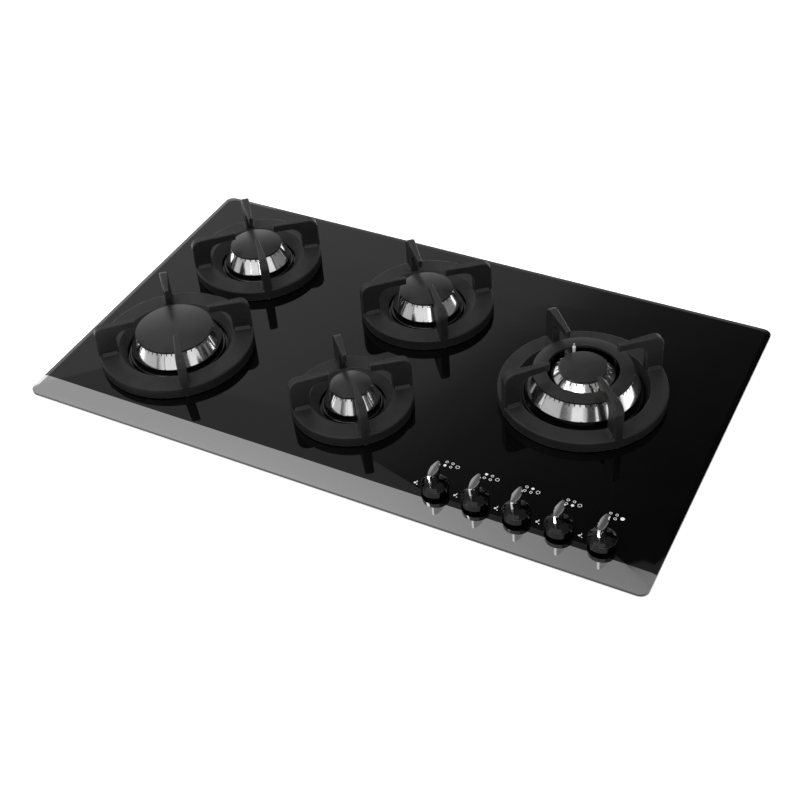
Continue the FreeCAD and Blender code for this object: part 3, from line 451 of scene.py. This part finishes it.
def buildPanel():
    piece = nodes["glass_panel"].copy()
    piece.data = nodes["glass_panel"].data.copy()
    piece.name = "glassPanel"
    piece.parent = None
    bpy.context.scene.collection.objects.link(piece)
    piece.select_set(True)
    bpy.context.view_layer.objects.active = piece
    bpy.ops.mesh.customdata_custom_splitnormals_clear()
    bpy.ops.object.mode_set(mode="EDIT")
    bpy.ops.mesh.select_mode(type="VERT")
    bpy.ops.mesh.select_all(action="SELECT")
    bpy.ops.mesh.remove_doubles(threshold=bevelShape["merge"])
    bpy.ops.mesh.select_all(action="DESELECT")
    bpy.ops.object.mode_set(mode="OBJECT")
    oldWidth = bevelShape["oldWidth"]
    drawnIn = bevelShape["width"] - oldWidth
    shrink = [1 - drawnIn / (size / 2 - oldWidth) for size in (panel["width"], panel["depth"])]
    moveRim(piece, panel["top"], oldWidth, scale=(*shrink, 1), shift=0.0)
    moveRim(piece, panel["top"] - oldWidth, 0.0, scale=(1, 1, 1), shift=oldWidth - bevelShape["drop"])
    bpy.ops.object.shade_smooth_by_angle(angle=math.radians(bevelShape["smoothTo"]))
    paint(piece, blackGlass)
    piece.select_set(False)
    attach(piece, "root")
    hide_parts("glass_panel")


buildPanel()
print("panel done")


# Printed marks beside the knobs. Places are from a knob's axis; a spark dot is x, y and radius.
marks = {"thickness": 0.00005, "lift": 0.00002, "smallDot": 0.0019, "largeDot": 0.0026, "line": 0.0006,
         "sides": 28, "columnPitch": 0.0078, "rowPitch": 0.0064, "rightOf": -0.0005, "behind": 0.0443,
         "sparkAt": (-0.0275, 0.004), "tipStretch": (0.8, 2.4, 1),
         "sparkDots": [(-0.0012, -0.0004, 0.0015), (0.0022, -0.0022, 0.0008), (0.0004, 0.0022, 0.0007)]}
dotPlaces = {"front_left": (-1, 0), "back_left": (-1, 1), "front_middle": (0, 0), "back_middle": (0, 1),
             "wok": (1, 0.5)}   # column and row


def printedDot(x, y, radius, filled):
    bpy.ops.mesh.primitive_circle_add(vertices=marks["sides"], radius=radius, fill_type="NGON",
                                      location=(x, y, panel["top"] + marks["lift"]))
    bpy.ops.object.mode_set(mode="EDIT")
    if not filled:
        bpy.ops.mesh.inset(thickness=marks["line"])
        bpy.ops.mesh.delete(type="FACE")
    bpy.ops.mesh.select_all(action="SELECT")
    bpy.ops.mesh.extrude_region_move(TRANSFORM_OT_translate={"value": (0, 0, marks["thickness"])})
    bpy.ops.mesh.select_all(action="SELECT")
    bpy.ops.mesh.normals_make_consistent(inside=False)
    bpy.ops.object.mode_set(mode="OBJECT")
    return bpy.context.object


def joined(name, pieces):
    bpy.ops.object.select_all(action="DESELECT")
    for piece in pieces:
        piece.select_set(True)
    bpy.context.view_layer.objects.active = pieces[0]
    bpy.ops.object.join()
    piece = bpy.context.object
    bpy.ops.object.transform_apply(location=True, rotation=True, scale=True)
    piece.name = name
    piece.data.name = name
    piece.select_set(False)
    return piece


def burnerDots(knobX, chosen):
    dots = []
    for name, (column, row) in dotPlaces.items():
        x = knobX + marks["rightOf"] + column * marks["columnPitch"]
        y = knobs["row"] + marks["behind"] + row * marks["rowPitch"]
        radius = marks["largeDot"] if name == "wok" else marks["smallDot"]
        dots.append(printedDot(x, y, radius, name == chosen))
    return dots


def sparkMark(knobX):
    # a drop, a dot beside it, and a tip that is drawn out upwards
    startX = knobX + marks["sparkAt"][0]
    startY = knobs["row"] + marks["sparkAt"][1]
    dots = [printedDot(startX + x, startY + y, radius, True) for x, y, radius in marks["sparkDots"]]
    tipX, tipY = marks["sparkDots"][-1][:2]
    bpy.ops.object.mode_set(mode="EDIT")
    bpy.ops.mesh.select_all(action="SELECT")
    bpy.ops.transform.resize(value=marks["tipStretch"],
                             center_override=(startX + tipX, startY + tipY, panel["top"]))
    bpy.ops.object.mode_set(mode="OBJECT")
    return dots


def buildMarks():
    pieces = []
    for step, name in enumerate(knobOrder):
        knobX = knobs["first"] + step * knobs["pitch"]
        pieces += burnerDots(knobX, name) + sparkMark(knobX)
    piece = joined("panelMarks", pieces)
    paint(piece, plain["printedWhite"])
    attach(piece, "root")


buildMarks()
print("marks done")


# the worktop, with the opening that the burner box drops through

floor = {"size": 9.0, "openX": 0.835, "openY": 0.475, "tones": (0.80, 0.83), "scale": 3.0,
         "roughness": 0.7, "glow": 0.66}


def floorMaterial():
    # it glows only towards the camera, mirrors and glass, so that it looks pale and lights nothing
    mat, tree, shader = newMaterial("paleFloor")
    shader.inputs["Roughness"].default_value = floor["roughness"]
    cloud = noise(tree, objectCoords(tree), floor["scale"])
    tree.links.new(drift(tree, cloud, floor["tones"]), shader.inputs["Base Color"])
    glow = addNode(tree, "ShaderNodeEmission")
    rays = addNode(tree, "ShaderNodeLightPath")
    seen = calculate(tree, "MAXIMUM", rays.outputs["Is Camera Ray"], rays.outputs["Is Glossy Ray"])
    seen = calculate(tree, "MAXIMUM", seen, rays.outputs["Is Transmission Ray"])
    tree.links.new(calculate(tree, "MULTIPLY", seen, floor["glow"]), glow.inputs["Strength"])
    both = addNode(tree, "ShaderNodeAddShader")
    tree.links.new(shader.outputs["BSDF"], both.inputs[0])
    tree.links.new(glow.outputs["Emission"], both.inputs[1])
    tree.links.new(both.outputs["Shader"], tree.nodes["Material Output"].inputs["Surface"])
    return mat


def buildFloor():
    bpy.ops.mesh.primitive_plane_add(size=1, location=(0, 0, panel["worktop"]))
    piece = bpy.context.object
    bpy.ops.transform.resize(value=(floor["openX"], floor["openY"], 1))
    bpy.ops.object.transform_apply(location=True, rotation=True, scale=True)
    bpy.ops.object.mode_set(mode="EDIT")
    bpy.ops.mesh.select_all(action="SELECT")
    bpy.ops.mesh.extrude_region_move()
    bpy.ops.transform.resize(value=(floor["size"] / floor["openX"], floor["size"] / floor["openY"], 1))
    bpy.ops.mesh.delete(type="ONLY_FACE")
    bpy.ops.object.mode_set(mode="OBJECT")
    for face in piece.data.polygons:
        reach = max(abs(piece.data.vertices[v].co.x) for v in face.vertices)
        face.select = reach < floor["openX"]
    bpy.ops.object.mode_set(mode="EDIT")
    bpy.ops.mesh.delete(type="ONLY_FACE")
    bpy.ops.object.mode_set(mode="OBJECT")
    piece.name = "worktopFloor"
    piece.data.materials.append(floorMaterial())
    piece.select_set(False)


# The studio, as directions. A turn is the azimuth in turns, 0.5 straight behind the camera. Each
# panel is a stretch of turn and its brightness, as lit cards round the table. The back and the
# overhead sky change tone across the range named beside them.
studio = {
    "turnStart": 0.666,
    "lowBase": 0.05,
    "lowPanels": [(0.0, 0.17, 1.0), (0.25, 0.36, 0.50), (0.42, 0.488, 0.90), (0.54, 0.58, 0.95),
                  (0.60, 0.665, 0.95), (0.68, 0.80, 0.17), (0.88, 1.0, 0.90)],
    "highPanels": [(0.0, 0.12, 1.30), (0.25, 0.34, 0.45), (0.35, 0.50, 0.80), (0.585, 0.665, 0.85),
                   (0.68, 0.80, 0.20), (0.90, 1.0, 0.50)],
    "lowTop": 0.19,
    "highTop": 0.42,
    "backSky": [(0.0, 0.62), (0.28, 0.54), (0.48, 0.40), (0.54, 0.22), (0.62, 0.13), (0.74, 0.08),
                (0.88, 0.045), (1.0, 0.03)],
    "backRange": (-0.60, 0.05),
    "backTilt": 1.4,
    "backLevel": 0.6,
    "overhead": [(0.0, 0.47), (0.35, 0.45), (0.60, 0.40), (0.78, 0.33), (1.0, 0.26)],
    "overheadRange": (-0.60, -0.20),
    "overheadEdge": 1.19,
    "overheadGain": {"low": 0.72, "high": 1.15, "start": 1.0, "end": 1.4},
    "frontCard": 1.0,
    "frontEdge": -0.40,
    "soft": [(0.0, 0.10), (0.45, 0.30), (0.75, 1.2), (1.0, 2.2)],
    "softSides": {"low": -1.0, "high": 1.0, "start": 1.05, "end": 0.65},
}


def panelRamp(tree, turn, panels):
    stops = []
    for start, end, value in panels:
        stops += [(start, value), (end, studio["lowBase"])]
    colours = ramp(tree, turn, stops)
    colours.node.color_ramp.interpolation = "CONSTANT"
    return colours


def lit(tree, colour, strength):
    node = addNode(tree, "ShaderNodeVectorMath", operation="SCALE")
    tree.links.new(colour, node.inputs["Vector"])
    tree.links.new(strength, node.inputs["Scale"])
    return node.outputs["Vector"]


def skyAbove(tree, x, y, z):
    # dark towards the back, brighter overhead, with a white card in front
    overLevel = calculate(tree, "SUBTRACT", z, studio["backLevel"])
    slant = calculate(tree, "ADD", x, calculate(tree, "MULTIPLY", overLevel, studio["backTilt"]))
    backSky = ramp(tree, stretch(tree, slant, *studio["backRange"]), studio["backSky"])
    overhead = ramp(tree, stretch(tree, x, *studio["overheadRange"]), studio["overhead"])
    overhead = lit(tree, overhead, stretch(tree, z, **studio["overheadGain"]))
    inFront = calculate(tree, "LESS_THAN", y, studio["frontEdge"])
    overhead = mixColour(tree, inFront, overhead, (studio["frontCard"],) * 3)
    edge = calculate(tree, "MULTIPLY", y, studio["overheadEdge"])
    return mixColour(tree, calculate(tree, "GREATER_THAN", z, edge), backSky, overhead)


def buildStudio():
    world = bpy.data.worlds.new("studio")
    bpy.context.scene.world = world
    world.use_nodes = True
    tree = world.node_tree
    background = tree.nodes["Background"]
    coords = addNode(tree, "ShaderNodeTexCoord")
    x, y, z = splitUp(tree, coords.outputs["Generated"])
    turn = calculate(tree, "MULTIPLY", calculate(tree, "ARCTAN2", y, x), 0.5 / math.pi)
    turn = calculate(tree, "FRACT", calculate(tree, "ADD", turn, studio["turnStart"]))
    sky = skyAbove(tree, x, y, z)
    for panels, top in (("highPanels", "highTop"), ("lowPanels", "lowTop")):
        below = calculate(tree, "LESS_THAN", z, studio[top])
        sky = mixColour(tree, below, sky, panelRamp(tree, turn, studio[panels]))
    rays = addNode(tree, "ShaderNodeLightPath")
    soft = lit(tree, ramp(tree, z, studio["soft"]), stretch(tree, x, **studio["softSides"]))
    sky = mixColour(tree, rays.outputs["Is Diffuse Ray"], sky, soft)
    sky = mixColour(tree, rays.outputs["Is Camera Ray"], sky, (1.0, 1.0, 1.0))
    tree.links.new(sky, background.inputs["Color"])
    background.inputs["Strength"].default_value = 1.0


lamps = {
    "overLeft": {"place": (-0.7, 0.0, 1.3), "target": (-0.2, 0.0, 0.05), "size": (0.5, 0.5), "power": 5.0,
                 "mirrored": False},
    "aboveCamera": {"place": (0.25, -1.05, 1.9), "target": (0.0, 0.0, 0.05), "size": (1.0, 0.1),
                    "power": 4.0},
    "frontLeft": {"place": (-0.75, -1.05, 1.7), "target": (0.0, 0.0, 0.05), "size": (0.6, 0.1),
                  "power": 3.0},
    "front": {"place": (1.5, -2.1, 1.25), "target": (0.1, 0.0, 0.05), "size": (0.25, 0.25),
              "power": 3.0},
}


def addLamp(name, place, target, size, power, mirrored=True):
    lamp = bpy.data.lights.new(name, "AREA")
    lamp.shape = "RECTANGLE"
    lamp.size, lamp.size_y = size
    lamp.energy = power
    holder = bpy.data.objects.new(name, lamp)
    bpy.context.scene.collection.objects.link(holder)
    holder.location = place
    aim = Vector(target) - Vector(place)
    holder.rotation_euler = aim.to_track_quat("-Z", "Y").to_euler()
    holder.visible_glossy = mirrored


# place and directions of the camera, solved from the panel's edges in the photograph
view = {"place": (0.68007, -1.18106, 1.20188), "right": (0.888496, 0.455064, -0.059083),
        "down": (0.265165, -0.614225, -0.743246), "forward": (-0.374515, 0.644705, -0.666404),
        "lens": 60.18, "sensor": 36.0, "farthest": 50.0}


def buildCamera():
    camera = bpy.data.cameras.new("camera")
    camera.sensor_width = view["sensor"]
    camera.lens = view["lens"]
    camera.clip_end = view["farthest"]
    holder = bpy.data.objects.new("camera", camera)
    bpy.context.scene.collection.objects.link(holder)
    turn = Matrix((Vector(view["right"]), -Vector(view["down"]), -Vector(view["forward"]))).transposed()
    holder.matrix_world = Matrix.Translation(view["place"]) @ turn.to_4x4()
    bpy.context.scene.camera = holder


buildFloor()
buildStudio()
for name, lamp in lamps.items():
    addLamp(name, **lamp)
buildCamera()
bpy.context.scene.view_settings.view_transform = "Standard"
print("stage done")
